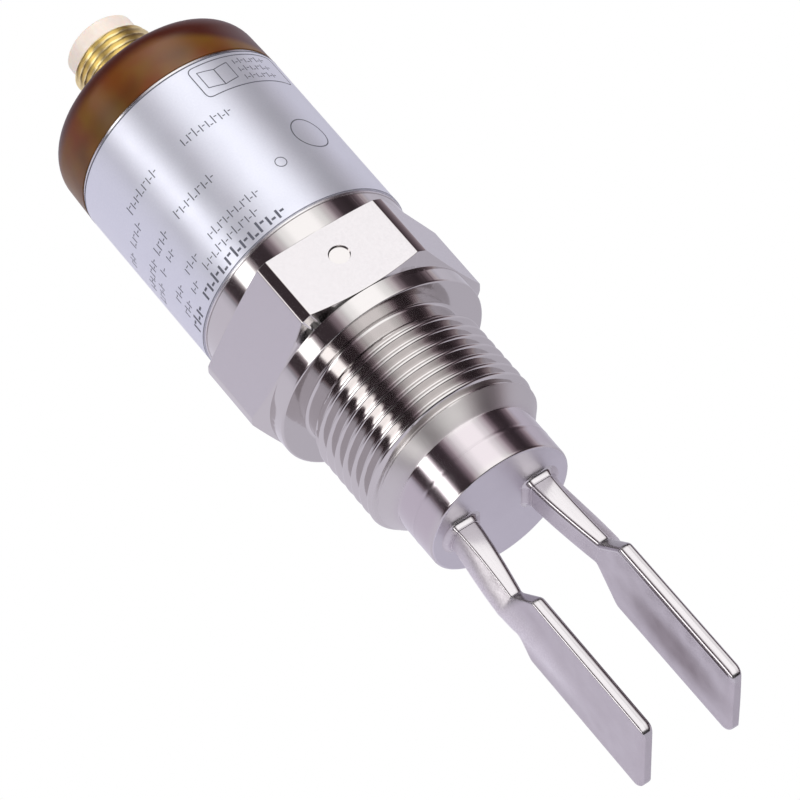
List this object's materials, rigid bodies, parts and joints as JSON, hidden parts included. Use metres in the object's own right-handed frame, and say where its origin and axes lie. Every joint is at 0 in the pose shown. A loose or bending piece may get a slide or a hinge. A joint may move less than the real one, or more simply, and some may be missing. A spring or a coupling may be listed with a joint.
{
  "type": "tuning fork level switch",
  "caption": "Compact vibrating fork level switch: paddle-tipped tines below a hexagon screw-in fitting, labelled tubular housing, amber domed head and small threaded round connector.",
  "frame": {"origin": "on the axis, at the upper end of the full process thread", "axes": "+Z along the axis to the connector, -Z to the tips of the fork; -Y faces out of the wrench flat that carries the round mark; the tines stand apart along X"},
  "size_m": [0.036, 0.0322, 0.1328],
  "materials": {
    "turned_stainless_steel": "turned bright",
    "cast_stainless_steel": "blasted satin",
    "drawn_stainless_steel": "drawn and polished",
    "silver_foil": "satin self-adhesive foil",
    "amber_plastic": "moulded, translucent amber",
    "brass": "turned, bare",
    "cream_plastic": "moulded, slightly translucent",
    "gilt_contact": "gilt",
    "hardened_steel": "ground",
    "zinc_plated_steel": "zinc plated",
    "alumina": "fired white ceramic",
    "piezo_ceramic": "fired ceramic with silvered faces",
    "phosphor_bronze": "rolled sheet",
    "white_ptfe": "drawn tube",
    "lead_insulation_red": "extruded",
    "lead_insulation_brown": "extruded",
    "black_nylon": "moulded",
    "green_board": "glass fibre laminate with solder mask",
    "chip_package": "moulded epoxy",
    "aluminium_can": "drawn can",
    "chip_ceramic": "fired",
    "clear_epoxy": "clear lens",
    "black_rubber": "moulded"
  },
  "bodies": {
    "root": {"process_fitting": "turned_stainless_steel", "tuning_fork": "cast_stainless_steel", "pressure_ring": "hardened_steel", "insulating_rings": "alumina", "electrode_plates": "phosphor_bronze", "piezo_discs": "piezo_ceramic", "insulating_sleeve": "white_ptfe", "pressure_washer": "hardened_steel", "disc_spring": "hardened_steel", "clamp_bolt": "zinc_plated_steel", "clamp_nut": "zinc_plated_steel", "piezo_leads": "lead_insulation_red", "board_carrier": "black_nylon", "circuit_board": "green_board", "microcontroller": "chip_package", "output_transistors": "chip_package", "storage_capacitors": "aluminium_can", "chip_resistors": "chip_ceramic", "test_sensor": "chip_package", "status_leds": "clear_epoxy", "tube_seal": "black_rubber", "housing_tube": "drawn_stainless_steel", "label_foil": "silver_foil", "head_cap": "amber_plastic", "cap_seal": "black_rubber", "connector_sleeve": "brass", "sleeve_seal": "black_rubber", "contact_carrier": "cream_plastic", "plug_shroud": "cream_plastic", "contact_pins": "gilt_contact", "connector_leads": "lead_insulation_brown"}
  },
  "joints": []
}
